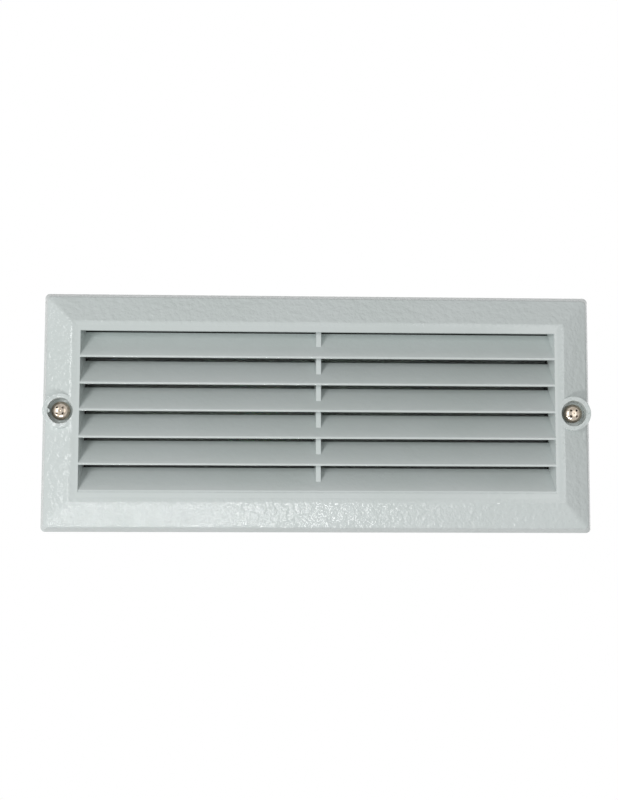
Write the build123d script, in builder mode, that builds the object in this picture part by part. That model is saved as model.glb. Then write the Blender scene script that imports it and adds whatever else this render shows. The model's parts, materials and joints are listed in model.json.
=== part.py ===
from build123d import *
import os
from math import asin, cos, hypot, radians, sin, tan

# Recessed step light: a louvred cover on a box that is set into a wall.
# X runs along the light, Z is up, and +Y goes into the wall, whose face is y = 0. Millimetres.

os.makedirs("parts", exist_ok=True)

# ---- front cover -------------------------------------------------------------------------
cover_length = 240.0
cover_height = 104.0
cover_corner = 2.0  # corner radius of the outline
mitre_corner = 0.8  # corner radius where bevel meets face
cover_wall = 2.5
wall_gap = 0.5  # rim's back edge to the wall
rim_depth = 5.0
rim_lean = 2.0  # how far the steep rim leans in over its depth
bevel_width = 11.2
bevel_rise = 4.5
band_width = 4.0  # flat band round the louvre

# ---- louvre ------------------------------------------------------------------------------
louvre_rows = 6
slot_gap = 0.8  # height of the straight gap between a lip and the slat below it
first_slat_rise = 0.3  # the top slat reaches this far above the opening's upper edge, behind its lip
lip_height = 0.9
slat_thickness = 2.0
slat_land = 1.2  # width of the slat's top edge
last_slat_step = 0.3  # the lowest slat ends this far behind the face
last_slat_overlap = 0.6
top_lip_depth = 1.2
lip_relief = 1.0
jamb_lean = 0.8
slat_edge_radius = 0.6
lip_top_radius = 0.5
lip_bottom_radius = 0.4
slat_back_radius = 0.3
rib_front_width = 2.1
rib_back_width = 2.9
rib_setback = 3.6
louvre_wall = 2.5
louvre_back_gap = 0.2  # louvre's back to the wall plane

# ---- cover screws ------------------------------------------------------------------------
screw_edge = 9.0  # screw axis to the end of the outline
pad_radius = 7.5
counterbore_radius = 5.5
counterbore_depth = 4.3
cover_screw_radius = 2.0
cover_screw_length = 20.0
cover_screw_pitch = 0.7
cover_head_radius = 4.0
cover_head_height = 3.1
cover_hole_clearance = 0.2
washer_radius = 3.8
washer_thickness = 0.8
running_clearance = 0.05
thread_depth_share = 0.61  # thread depth as a share of the pitch
nub_radius = 0.9
nub_overlap = 0.2
groove_width = 0.6
groove_depth = 0.35

# ---- glass and its seal ------------------------------------------------------------------
glass_thickness = 3.0
glass_edge_cover = 1.3  # rubber outside the glass's edge
seal_lip = 1.0  # rubber in front of and behind the glass
seal_overlap = 2.5
clip_from_centre = 60.0
clip_width = 10.0
clip_thickness = 0.8
clip_reach = 3.3  # how far a clip lies over the seal
clip_boss_radius = 2.8
clip_boss_gap = 0.3
clip_screw_radius = 1.5
clip_screw_length = 6.0
clip_screw_pitch = 0.5
clip_head_radius = 2.8
clip_head_height = 1.9
boss_bore_extra = 1.0  # blind hole beyond a screw's end

# ---- box in the wall ---------------------------------------------------------------------
box_wall = 2.2
box_floor = 2.5
box_corner = 8.0
box_draft = 1.2  # how much each side closes in from mouth to floor
mouth_end_gap = 1.7
mouth_side_gap = 0.8
flange_thickness = 2.5
flange_gap = 0.6
flange_corner = 4.0
gasket_thickness = 1.5
gasket_width = 2.1
gasket_inset = 3.5  # gasket's outer edge to the rim's front edge
seal_rib_width = 1.0
column_radius = 3.6
column_extra = 1.5
rib_thickness = 2.4
rib_height = 1.6
rib_back_gap = 8.0
side_rib_spacing = 52.0
back_rib_spacing = 40.0

# ---- conduit entries ---------------------------------------------------------------------
entry_radius = 10.0
entry_wall = 3.5
entry_end_gap = 2.0  # entry boss's end to the end of the cover's outline
entry_depth = 42.0
grommet_flange = 2.4
grommet_flange_thickness = 1.4
cable_radius = 3.5
plug_chamfer = 0.6
plug_slot_width = 2.0
plug_slot_depth = 0.8
plug_thread_pitch = 1.5
plug_thread_clearance = 0.05

# ---- fixing holes and bosses on the box floor --------------------------------------------
fixing_hole_radius = 2.6
fixing_boss_radius = 6.0
fixing_boss_height = 1.5
fixing_from_end = 13.0
fixing_from_side = 10.0

# ---- lamp --------------------------------------------------------------------------------
lamp_depth = 35.0  # wall plane to the lamp's axis
lamp_radius = 22.5
lamp_back_room = 8.0  # lamp to the box floor
dome_wall = 1.5
dome_cut = 9.5  # centre of the dome to its open end
collar_length = 19.5
collar_neck_radius = 13.8
collar_rim = 1.2
collar_cup_depth = 11.0
collar_cup_radius = 16.5
cap_radius = 13.2
cap_root = 12.1
cap_length = 22.0
cap_bore = 11.2
cap_pitch = 3.629
insulator_length = 3.0
insulator_inset = 0.4
insulator_taper = 0.8
tip_radius = 4.6
tip_height = 1.5
board_radius = 17.5
board_thickness = 1.6
chip_size = 2.8
chip_height = 0.8
chip_count = 8
chip_circle = 11.0

# ---- lampholder --------------------------------------------------------------------------
bracket_end_gap = 3.5
bracket_sheet = 1.5
bracket_half_width = 18.0
bracket_foot = 31.0
bracket_bend = 1.5
foot_hole_from_end = 7.5
foot_hole_from_side = 6.0
bracket_front_room = 23.0  # lamp's axis to the bracket's front edge
holder_length = 44.0
holder_base_length = 15.0
holder_base_radius = 20.0
holder_barrel_radius = 18.0
holder_step = 2.0
lamp_seat_gap = 0.5  # lamp's collar to the holder's mouth
shell_outer_radius = 14.6
shell_clearance = 0.15
shell_wall = 0.5
shell_ridge = 0.55
shell_floor_gap = 0.5
shell_mouth_gap = 1.5
shell_hole_margin = 2.0  # hole in the shell's floor round the contact
contact_head_radius = 3.5
contact_head_height = 2.0
contact_stem_radius = 2.0
contact_stem_length = 8.0
contact_travel = 1.2
contact_proud = 1.0  # contact's face above the floor of the holder
contact_side_gap = 0.3
holder_screw_spacing = 20.0
holder_screw_length = 6.0
m4_radius = 2.0
m4_pitch = 0.7
m4_head_radius = 3.8
m4_head_height = 2.4
holder_entry_spacing = 8.0
holder_entry_depth = 6.0

# ---- reflector ---------------------------------------------------------------------------
reflector_sheet = 0.8
reflector_block_gap = 25.0  # reflector's end to the terminal block
reflector_from_holder = 4.0
reflector_back_half = 20.0
reflector_side_gap = 1.8  # half the box floor's height to the reflector's front edge
reflector_front_depth = 12.0
reflector_bend = 1.5
reflector_boss_height = 4.0
reflector_boss_radius = 4.0
reflector_hole_inset = 8.0
m3_radius = 1.5
m3_pitch = 0.5
m3_head_radius = 2.8
m3_head_height = 1.9
short_screw = 4.0

# ---- terminals and leads -----------------------------------------------------------------
block_from_end = 25.0
block_length = 18.0
block_pole_pitch = 10.0
block_pole_width = 9.0
block_edge = 0.8
block_base = 4.0
block_height = 14.0
block_rise = 6.0  # middle pole above the light's centre line
barrel_radius = 2.9
barrel_length = 15.0
wire_hole_radius = 1.6
wire_height = 7.5  # wire axis above the box floor
grub_radius = 1.45
grub_spacing = 9.0
grub_length = 4.4
grub_well_radius = 2.0
grub_slot = 0.5
block_pad_height = 1.5
block_screw_radius = 1.25
block_screw_pitch = 0.45
block_screw_head = 1.9
block_screw_head_height = 1.2
block_screw_bite = 2.4  # how far the screws reach into the pad and the floor
lead_radius = 1.2
lead_insert = 5.0
lead_entry_clearance = 0.1
lead_end_gap = 1.0
lead_run = 8.0  # straight run out of the terminal block
lead_wall_gap = 7.0  # live lead's axis to the box's wall
lead_spacing = 6.0
lead_wave = 1.0
channel_start_gap = 3.0
channel_end_gap = 7.0
channel_spans = 3
lead_rise = 13.0  # top of the leads above the lampholder
lead_turn_depth = 4.0
neutral_lift = 5.0
earth_run = 16.0
earth_from_block = 18.0
earth_boss_radius = 4.5
earth_boss_height = 4.0
tag_radius = 4.0
tag_thickness = 0.8
tag_reach = 12.0
tag_barrel_radius = 1.9

# ---- depths and sizes that follow --------------------------------------------------------
rim_front = -(wall_gap + rim_depth)
face_depth = rim_front - bevel_rise
face_length = cover_length - 2 * (rim_lean + bevel_width)
face_height = cover_height - 2 * (rim_lean + bevel_width)
opening_length = face_length - 2 * band_width
opening_height = face_height - 2 * band_width
louvre_back = -louvre_back_gap
row_pitch = opening_height / louvre_rows
screw_x = cover_length / 2 - screw_edge
seat_length = opening_length + 2 * louvre_wall
seat_height = opening_height + 2 * louvre_wall
clip_z = seat_height / 2 + clip_boss_gap + clip_boss_radius
glass_back = louvre_back + 2 * seal_lip + glass_thickness
mouth_length = seat_length + 2 * mouth_end_gap
mouth_height = 2 * (clip_z + clip_boss_radius + mouth_side_gap)
floor_length = mouth_length - 2 * box_draft
floor_height = mouth_height - 2 * box_draft
box_depth = lamp_depth + lamp_radius + lamp_back_room
flange_front = -flange_thickness
gasket_front = flange_front - gasket_thickness
counterbore_floor = face_depth + counterbore_depth
head_seat = counterbore_floor - washer_thickness

# The cover's walls are square to its faces, so these are their widths along X, Z and Y.
rim_wall = cover_wall * hypot(1, rim_lean / rim_depth)
bevel_wall = cover_wall * hypot(1, bevel_rise / bevel_width)
rim_slope = rim_lean / rim_depth
bevel_slope = bevel_rise / bevel_width
inner_knee = (rim_depth - bevel_wall + (rim_wall - rim_lean) * bevel_slope) / (1 - rim_slope * bevel_slope)
ceiling_height = rim_depth + bevel_rise - cover_wall
ceiling_inset = rim_lean + (bevel_wall + ceiling_height - rim_depth) / bevel_slope


def facing_out(depth):
    """Plane parallel to the wall, this deep into it, with its normal out of the wall."""
    return Plane.XZ.offset(-depth)


def hollow_inset(forward):
    """Inset of the cover's hollow from its outline, this far in front of the rim's back edge."""
    return rim_wall + rim_slope * forward


def ring_thread(radius, pitch, start, stop):
    """Corner points of ring threads down an axis, from start to stop, as (radius, height)."""
    root = radius - thread_depth_share * pitch
    points = []
    for turn in range(int((start - stop) / pitch)):
        top = start - turn * pitch
        points.append((root, top))
        points.append((radius, top - 0.35 * pitch))
        points.append((radius, top - 0.55 * pitch))
        points.append((root, top - 0.9 * pitch))
    points.append((root, stop))
    return points


def pan_screw(radius, length, pitch, head_radius, head_height):
    """Cross-recess pan screw on the Z axis, with its head's seat at z = 0 and its head above."""
    edge_height = 0.45 * head_height
    recess_reach = 1.12 * head_radius
    recess_width = 0.24 * head_radius
    recess_depth = 0.62 * head_height
    recess_taper = 8
    with BuildPart() as screw:
        with BuildSketch(Plane.XZ):
            with BuildLine():
                Line((0, -length), (0, head_height))
                ThreePointArc(
                    (0, head_height),
                    (0.62 * head_radius, 0.88 * head_height),
                    (head_radius, edge_height),
                )
                Line((head_radius, edge_height), (head_radius, 0))
                thread = ring_thread(radius, pitch, -0.4 * pitch, -length)
                Polyline((head_radius, 0), (radius, 0), *thread, (0, -length))
            make_face()
        revolve(axis=Axis.Z)
        with BuildSketch(Plane.XY.offset(head_height)):
            with Locations(Rotation(0, 0, 45)):
                Rectangle(recess_reach, recess_width)
                Rectangle(recess_width, recess_reach)
        extrude(amount=-recess_depth, taper=recess_taper, mode=Mode.SUBTRACT)
    return screw.part


def facing_left(x, y, z):
    """Plane at a point with its normal along -X."""
    return Plane(origin=(x, y, z), x_dir=(0, 1, 0), z_dir=(-1, 0, 0))


def out_of_wall(x, y, z):
    """Plane at a point with its normal out of the wall."""
    return Plane(origin=(x, y, z), x_dir=(1, 0, 0), z_dir=(0, -1, 0))


# ---- front cover -------------------------------------------------------------------------
def slat_outline(row):
    """Side view of one louvre slat, from its top edge deep inside down to its lip at the face."""
    top = opening_height / 2 - row * row_pitch
    bottom = top - row_pitch
    last = row == louvre_rows - 1
    lip_depth = face_depth + (last_slat_step if last else 0)
    foot = bottom - (last_slat_overlap if last else 0)
    slat_top = top + first_slat_rise if row == 0 else top - slot_gap
    edge = (louvre_back - slat_land, slat_top)
    lip = (lip_depth, bottom + lip_height)
    run = lip[0] - edge[0]
    drop = lip[1] - edge[1]
    slope = drop / run
    under_drop = slat_thickness * hypot(run, drop) / -run
    under_foot = edge[0] + (foot + under_drop - edge[1]) / slope
    under_back = edge[1] - under_drop + slope * slat_land
    return [
        edge,
        lip,
        (lip_depth, foot),
        (under_foot, foot),
        (louvre_back, under_back),
        (louvre_back, slat_top),
    ]


slat_radii = [slat_edge_radius, lip_top_radius, lip_bottom_radius, slat_back_radius, slat_back_radius, 0]

with BuildPart() as front_cover:
    # steep rim, then the bevel up to the flat face
    with BuildSketch(facing_out(-wall_gap)):
        RectangleRounded(cover_length, cover_height, cover_corner)
    with BuildSketch(facing_out(rim_front)):
        RectangleRounded(cover_length - 2 * rim_lean, cover_height - 2 * rim_lean, cover_corner)
    loft(ruled=True)
    with BuildSketch(facing_out(rim_front)):
        RectangleRounded(cover_length - 2 * rim_lean, cover_height - 2 * rim_lean, cover_corner)
    with BuildSketch(facing_out(face_depth)):
        RectangleRounded(face_length, face_height, mitre_corner)
    loft(ruled=True)
    # hollow behind them, with walls of one thickness
    with BuildSketch(facing_out(-wall_gap)):
        RectangleRounded(cover_length - 2 * rim_wall, cover_height - 2 * rim_wall, cover_corner)
    with BuildSketch(facing_out(-wall_gap - inner_knee)):
        knee_inset = hollow_inset(inner_knee)
        RectangleRounded(cover_length - 2 * knee_inset, cover_height - 2 * knee_inset, cover_corner)
    loft(ruled=True, mode=Mode.SUBTRACT)
    with BuildSketch(facing_out(-wall_gap - inner_knee)):
        RectangleRounded(cover_length - 2 * knee_inset, cover_height - 2 * knee_inset, cover_corner)
    with BuildSketch(facing_out(-wall_gap - ceiling_height)):
        RectangleRounded(cover_length - 2 * ceiling_inset, cover_height - 2 * ceiling_inset, mitre_corner)
    loft(ruled=True, mode=Mode.SUBTRACT)
    # screw pads, the rib that presses on the gasket and the wall round the louvre
    with BuildSketch(facing_out(gasket_front)):
        with Locations((-screw_x, 0), (screw_x, 0)):
            Circle(pad_radius)
    extrude(amount=gasket_front - face_depth)
    rib_inset = rim_lean + gasket_inset + (gasket_width - seal_rib_width) / 2
    rib_rise = gasket_front - rim_front + (rib_inset - rim_lean) * bevel_slope - cover_wall / 2
    with BuildSketch(facing_out(gasket_front)):
        RectangleRounded(cover_length - 2 * rib_inset, cover_height - 2 * rib_inset, cover_corner)
        inner_inset = rib_inset + seal_rib_width
        RectangleRounded(
            cover_length - 2 * inner_inset, cover_height - 2 * inner_inset, cover_corner, mode=Mode.SUBTRACT
        )
    extrude(amount=rib_rise)
    with BuildSketch(facing_out(louvre_back)):
        Rectangle(seat_length, seat_height)
    extrude(amount=louvre_back - face_depth - cover_wall / 2)
    # bosses for the glass clips
    boss_front = rim_front - (cover_height / 2 - rim_lean - clip_z - clip_boss_radius) * bevel_slope
    with BuildSketch(facing_out(glass_back)):
        with GridLocations(2 * clip_from_centre, 2 * clip_z, 2, 2):
            Circle(clip_boss_radius)
    extrude(amount=glass_back - boss_front - cover_wall / 5)
    # the opening: a lip at its top and bottom, and ends that close in towards the back
    lip_lean = jamb_lean * top_lip_depth / (louvre_back - face_depth)
    lip_back = face_depth + top_lip_depth
    with BuildSketch(facing_out(face_depth)):
        Rectangle(opening_length, opening_height)
    with BuildSketch(facing_out(lip_back)):
        Rectangle(opening_length - 2 * lip_lean, opening_height - 2 * lip_lean)
    loft(ruled=True, mode=Mode.SUBTRACT)
    with BuildSketch(facing_out(lip_back)):
        Rectangle(opening_length - 2 * lip_lean, opening_height + 2 * lip_relief)
    with BuildSketch(facing_out(louvre_back)):
        Rectangle(opening_length - 2 * jamb_lean, opening_height + 2 * lip_relief)
    loft(ruled=True, mode=Mode.SUBTRACT)
    # slats, and the rib that joins their middles
    for row in range(louvre_rows):
        with BuildSketch(Plane.YZ):
            with BuildLine():
                FilletPolyline(*slat_outline(row), radius=slat_radii, close=True)
            make_face()
        extrude(amount=(opening_length + louvre_wall) / 2, both=True)
    with BuildSketch(Plane.XY):
        with BuildLine():
            rib_front = face_depth + rib_setback
            Polyline(
                (-rib_back_width / 2, louvre_back),
                (-rib_front_width / 2, rib_front),
                (rib_front_width / 2, rib_front),
                (rib_back_width / 2, louvre_back),
                close=True,
            )
        make_face()
    extrude(amount=opening_height / 2 + lip_relief, both=True)
    # screw holes, clip screw holes, and what casting left at the pads
    with BuildSketch(facing_out(face_depth)):
        with Locations((-screw_x, 0), (screw_x, 0)):
            Circle(counterbore_radius)
    extrude(amount=-counterbore_depth, mode=Mode.SUBTRACT)
    with BuildSketch(facing_out(face_depth)):
        with Locations((-screw_x, 0), (screw_x, 0)):
            Circle(cover_screw_radius + cover_hole_clearance)
    extrude(amount=face_depth - gasket_front, mode=Mode.SUBTRACT)
    with BuildSketch(facing_out(glass_back)):
        with GridLocations(2 * clip_from_centre, 2 * clip_z, 2, 2):
            Circle(clip_screw_radius + running_clearance)
    extrude(amount=clip_screw_length - clip_thickness + boss_bore_extra, mode=Mode.SUBTRACT)
    with BuildSketch(facing_out(counterbore_floor)):
        with Locations((-screw_x - counterbore_radius + nub_overlap, 0)):
            Circle(nub_radius)
    extrude(amount=counterbore_depth - nub_radius / 2)
    with BuildSketch(facing_out(face_depth)):
        with Locations((screw_x + (counterbore_radius + pad_radius) / 2, 0)):
            Rectangle(pad_radius - counterbore_radius + groove_width, groove_width)
    extrude(amount=-groove_depth, mode=Mode.SUBTRACT)

front_cover.part.label = "front_cover"
export_step(front_cover.part, "parts/front_cover.step")

# ---- cover screws and their washers ------------------------------------------------------
cover_screw = pan_screw(
    cover_screw_radius, cover_screw_length, cover_screw_pitch, cover_head_radius, cover_head_height
)

with BuildPart() as left_cover_screw:
    with Locations(out_of_wall(-screw_x, head_seat, 0)):
        add(cover_screw)

left_cover_screw.part.label = "left_cover_screw"
export_step(left_cover_screw.part, "parts/left_cover_screw.step")

with BuildPart() as right_cover_screw:
    with Locations(out_of_wall(screw_x, head_seat, 0)):
        add(cover_screw)

right_cover_screw.part.label = "right_cover_screw"
export_step(right_cover_screw.part, "parts/right_cover_screw.step")

with BuildPart() as left_screw_washer:
    with BuildSketch(facing_out(counterbore_floor)):
        with Locations((-screw_x, 0)):
            Circle(washer_radius)
            Circle(cover_screw_radius + running_clearance, mode=Mode.SUBTRACT)
    extrude(amount=washer_thickness)

left_screw_washer.part.label = "left_screw_washer"
export_step(left_screw_washer.part, "parts/left_screw_washer.step")

with BuildPart() as right_screw_washer:
    with BuildSketch(facing_out(counterbore_floor)):
        with Locations((screw_x, 0)):
            Circle(washer_radius)
            Circle(cover_screw_radius + running_clearance, mode=Mode.SUBTRACT)
    extrude(amount=washer_thickness)

right_screw_washer.part.label = "right_screw_washer"
export_step(right_screw_washer.part, "parts/right_screw_washer.step")

# ---- glass, its seal and its clips -------------------------------------------------------
glass_length = seat_length - 2 * glass_edge_cover
glass_height = seat_height - 2 * glass_edge_cover
glass_front = louvre_back + seal_lip

with BuildPart() as glass_panel:
    with BuildSketch(facing_out(glass_front + glass_thickness)):
        Rectangle(glass_length, glass_height)
    extrude(amount=glass_thickness)
    chamfer(glass_panel.edges().filter_by(Axis.Y, reverse=True), glass_thickness / 10)

glass_panel.part.label = "glass_panel"
export_step(glass_panel.part, "parts/glass_panel.step")

with BuildPart() as glass_seal:
    with BuildSketch(facing_out(glass_back)):
        Rectangle(seat_length, seat_height)
        Rectangle(glass_length - 2 * seal_overlap, glass_height - 2 * seal_overlap, mode=Mode.SUBTRACT)
    extrude(amount=glass_back - louvre_back)
    with BuildSketch(facing_out(glass_front + glass_thickness)):
        Rectangle(glass_length, glass_height)
    extrude(amount=glass_thickness, mode=Mode.SUBTRACT)

glass_seal.part.label = "glass_seal"
export_step(glass_seal.part, "parts/glass_seal.step")

clip_outer = clip_z + clip_boss_radius
clip_inner = seat_height / 2 - clip_reach
with BuildPart() as glass_clips:
    with BuildSketch(facing_out(glass_back + clip_thickness)):
        with GridLocations(2 * clip_from_centre, clip_outer + clip_inner, 2, 2):
            RectangleRounded(clip_width, clip_outer - clip_inner, clip_width / 6)
        with GridLocations(2 * clip_from_centre, 2 * clip_z, 2, 2):
            Circle(clip_screw_radius + cover_hole_clearance / 2, mode=Mode.SUBTRACT)
    extrude(amount=clip_thickness)

glass_clips.part.label = "glass_clips"
export_step(glass_clips.part, "parts/glass_clips.step")

clip_screw = pan_screw(
    clip_screw_radius, clip_screw_length, clip_screw_pitch, clip_head_radius, clip_head_height
)
clip_screw_places = [
    Plane(origin=(x, glass_back + clip_thickness, z), x_dir=(1, 0, 0), z_dir=(0, 1, 0))
    for x in (-clip_from_centre, clip_from_centre)
    for z in (-clip_z, clip_z)
]
with BuildPart() as clip_screws:
    with Locations(*clip_screw_places):
        add(clip_screw)

clip_screws.part.label = "clip_screws"
export_step(clip_screws.part, "parts/clip_screws.step")

# ---- gasket between cover and box --------------------------------------------------------
gasket_outer_length = cover_length - 2 * (rim_lean + gasket_inset)
gasket_outer_height = cover_height - 2 * (rim_lean + gasket_inset)

with BuildPart() as cover_gasket:
    with BuildSketch(facing_out(flange_front)):
        RectangleRounded(gasket_outer_length, gasket_outer_height, flange_corner)
        gasket_bore_height = gasket_outer_height - 2 * gasket_width
        RectangleRounded(
            mouth_length + 2 * running_clearance, gasket_bore_height, flange_corner / 2, mode=Mode.SUBTRACT
        )
        with Locations((-screw_x, 0), (screw_x, 0)):
            Circle(cover_screw_radius + cover_hole_clearance, mode=Mode.SUBTRACT)
    extrude(amount=gasket_thickness)

cover_gasket.part.label = "cover_gasket"
export_step(cover_gasket.part, "parts/cover_gasket.step")

# ---- box ---------------------------------------------------------------------------------
flange_inset = hollow_inset(flange_thickness - wall_gap) + flange_gap
column_depth = head_seat + cover_screw_length + boss_bore_extra
box_back = box_depth + box_floor
entry_end = cover_length / 2 - entry_end_gap
inner_end = floor_length / 2
bracket_x = -(mouth_length / 2 - bracket_end_gap)
foot_screw_x = bracket_x + bracket_foot - foot_hole_from_end
foot_screw_z = bracket_half_width - foot_hole_from_side
foot_back = box_depth - fixing_boss_height
holder_back = bracket_x + bracket_sheet
holder_mouth = holder_back + holder_length
reflector_start = holder_mouth + reflector_from_holder
block_x = mouth_length / 2 - block_from_end
block_left = block_x - block_length / 2
reflector_end = block_left - reflector_block_gap
reflector_length = reflector_end - reflector_start
reflector_front_half = floor_height / 2 - reflector_side_gap
reflector_holes = (reflector_start + reflector_hole_inset, reflector_end - reflector_hole_inset)
block_back = box_depth - block_pad_height
block_low_z = block_rise - block_pole_pitch
block_screw_places = [(block_x, block_rise + side * block_pole_pitch / 2) for side in (-1, 1)]
earth_z = block_low_z - earth_from_block
fixing_x = mouth_length / 2 - fixing_from_end
fixing_z = mouth_height / 2 - fixing_from_side
m4_hole = m4_radius + running_clearance
m3_hole = m3_radius + running_clearance

with BuildPart() as housing:
    # tapered tub with its flange
    with BuildSketch(facing_out(0)):
        RectangleRounded(mouth_length + 2 * box_wall, mouth_height + 2 * box_wall, box_corner)
    with BuildSketch(facing_out(box_back)):
        RectangleRounded(floor_length + 2 * box_wall, floor_height + 2 * box_wall, box_corner)
    loft(ruled=True)
    with BuildSketch(facing_out(0)):
        RectangleRounded(cover_length - 2 * flange_inset, cover_height - 2 * flange_inset, flange_corner)
    extrude(amount=flange_thickness)
    # screw columns and conduit entry bosses on the ends
    with BuildSketch(facing_out(column_depth + column_extra)):
        with Locations((-screw_x, 0), (screw_x, 0)):
            Circle(column_radius)
        with GridLocations(2 * (screw_x - column_radius), 1, 2, 1):
            Rectangle(2 * column_radius, 2 * column_radius)
    extrude(amount=column_depth + column_extra + flange_thickness)
    for side in (-1, 1):
        end_plane = Plane(origin=(side * entry_end, entry_depth, 0), x_dir=(0, 1, 0), z_dir=(side, 0, 0))
        with BuildSketch(end_plane):
            Circle(entry_radius + entry_wall)
        extrude(amount=-(entry_end - inner_end))
    # stiffening ribs round the sides and over the back
    rib_reach = mouth_height / 2 + box_wall + rib_height / 2
    with BuildSketch(facing_out(box_depth - rib_back_gap)):
        with GridLocations(side_rib_spacing, 2 * rib_reach - 2 * rib_height, 4, 2):
            Rectangle(rib_thickness, 2 * rib_height)
    extrude(amount=box_depth - rib_back_gap)
    with BuildSketch(facing_out(box_back + rib_height)):
        with GridLocations(back_rib_spacing, 1, 5, 1):
            Rectangle(rib_thickness, floor_height - box_corner)
        Rectangle(floor_length - box_corner, rib_thickness)
    extrude(amount=rib_height + box_floor / 2)
    # cavity
    with BuildSketch(facing_out(flange_front)):
        RectangleRounded(mouth_length, mouth_height, box_corner - box_wall)
    with BuildSketch(facing_out(box_depth)):
        RectangleRounded(floor_length, floor_height, box_corner - box_wall)
    loft(ruled=True, mode=Mode.SUBTRACT)
    # bosses on the floor
    fixing_places = [(x, z) for x in (-fixing_x, fixing_x) for z in (-fixing_z, fixing_z)]
    foot_places = [(foot_screw_x, -foot_screw_z), (foot_screw_x, foot_screw_z)]
    reflector_places = [(x, 0) for x in reflector_holes]
    with BuildSketch(facing_out(box_depth)):
        with Locations(*fixing_places):
            Circle(fixing_boss_radius)
        with Locations(*foot_places):
            Circle(fixing_boss_radius)
    extrude(amount=fixing_boss_height)
    with BuildSketch(facing_out(box_depth)):
        with Locations(*reflector_places):
            Circle(reflector_boss_radius)
    extrude(amount=reflector_boss_height)
    with BuildSketch(facing_out(box_depth)):
        with Locations((block_x, earth_z)):
            Circle(earth_boss_radius)
    extrude(amount=earth_boss_height)
    with BuildSketch(facing_out(box_depth)):
        with Locations((block_x, block_rise)):
            Rectangle(block_length, 2 * block_pole_pitch + block_pole_width)
    extrude(amount=block_pad_height)
    # holes: through the floor for the wall screws, and blind for everything else
    with BuildSketch(facing_out(box_depth - fixing_boss_height)):
        with Locations(*fixing_places):
            Circle(fixing_hole_radius)
    extrude(amount=-(fixing_boss_height + box_floor + rib_height), mode=Mode.SUBTRACT)
    with BuildSketch(facing_out(box_depth - fixing_boss_height)):
        with Locations(*foot_places):
            Circle(m4_hole)
    extrude(amount=-(short_screw - bracket_sheet + boss_bore_extra / 2), mode=Mode.SUBTRACT)
    with BuildSketch(facing_out(box_depth - reflector_boss_height)):
        with Locations(*reflector_places):
            Circle(m3_hole)
    extrude(amount=-(short_screw - reflector_sheet + boss_bore_extra / 2), mode=Mode.SUBTRACT)
    with BuildSketch(facing_out(box_depth - earth_boss_height)):
        with Locations((block_x, earth_z)):
            Circle(m4_hole)
    extrude(amount=-(short_screw - tag_thickness + boss_bore_extra / 2), mode=Mode.SUBTRACT)
    with BuildSketch(facing_out(block_back)):
        with Locations(*block_screw_places):
            Circle(block_screw_radius + running_clearance)
    extrude(amount=-(block_screw_bite + boss_bore_extra / 2), mode=Mode.SUBTRACT)
    with BuildSketch(facing_out(flange_front)):
        with Locations((-screw_x, 0), (screw_x, 0)):
            Circle(cover_screw_radius + running_clearance)
    extrude(amount=flange_front - column_depth, mode=Mode.SUBTRACT)
    entry_plane = Plane(origin=(0, entry_depth, 0), x_dir=(0, 1, 0), z_dir=(1, 0, 0))
    with BuildSketch(entry_plane):
        Circle(entry_radius)
    extrude(amount=cover_length, both=True, mode=Mode.SUBTRACT)

housing.part.label = "housing"
export_step(housing.part, "parts/housing.step")

# ---- conduit entries: a rubber grommet at one end, a blanking plug at the other ----------
entry_axis = Axis((0, entry_depth, 0), (1, 0, 0))
entry_section = Plane(origin=(0, entry_depth, 0), x_dir=(1, 0, 0), z_dir=(0, 0, 1))
grommet_inner = inner_end - grommet_flange_thickness
grommet_outer = entry_end + grommet_flange_thickness

with BuildPart() as cable_grommet:
    with BuildSketch(entry_section):
        with BuildLine():
            Polyline(
                (grommet_inner, cable_radius),
                (grommet_outer, cable_radius),
                (grommet_outer, entry_radius + grommet_flange / 2),
                (entry_end, entry_radius + grommet_flange),
                (entry_end, entry_radius),
                (inner_end, entry_radius),
                (inner_end, entry_radius + grommet_flange / 2),
                (grommet_inner, entry_radius - grommet_flange / 2),
                close=True,
            )
        make_face()
    revolve(axis=entry_axis)

cable_grommet.part.label = "cable_grommet"
export_step(cable_grommet.part, "parts/cable_grommet.step")

plug_radius = entry_radius - plug_thread_clearance
plug_thread = ring_thread(plug_radius, plug_thread_pitch, entry_end, inner_end)
with BuildPart() as blanking_plug:
    with BuildSketch(entry_section):
        with BuildLine():
            Polyline(
                (-inner_end, 0),
                (-grommet_outer, 0),
                (-grommet_outer, entry_radius + grommet_flange - plug_chamfer),
                (-entry_end - grommet_flange_thickness / 2, entry_radius + grommet_flange),
                (-entry_end, entry_radius + grommet_flange),
                *[(-along, radius) for radius, along in plug_thread],
                close=True,
            )
        make_face()
    revolve(axis=entry_axis)
    with BuildSketch(facing_left(-grommet_outer, entry_depth, 0)):
        Rectangle(2 * entry_radius, plug_slot_width)
    extrude(amount=-plug_slot_depth, mode=Mode.SUBTRACT)

blanking_plug.part.label = "blanking_plug"
export_step(blanking_plug.part, "parts/blanking_plug.step")

# ---- reflector ---------------------------------------------------------------------------
reflector_back = box_depth - reflector_boss_height
flank_rise = reflector_back - reflector_front_depth
flank_out = reflector_front_half - reflector_back_half
flank_length = hypot(flank_rise, flank_out)
# The sheet's inner line is parallel to its outer line, one sheet thickness inside.
inner_back_half = reflector_back_half + reflector_sheet * (flank_length - flank_out) / flank_rise
inner_front_half = reflector_front_half + reflector_sheet * flank_length / flank_rise

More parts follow.
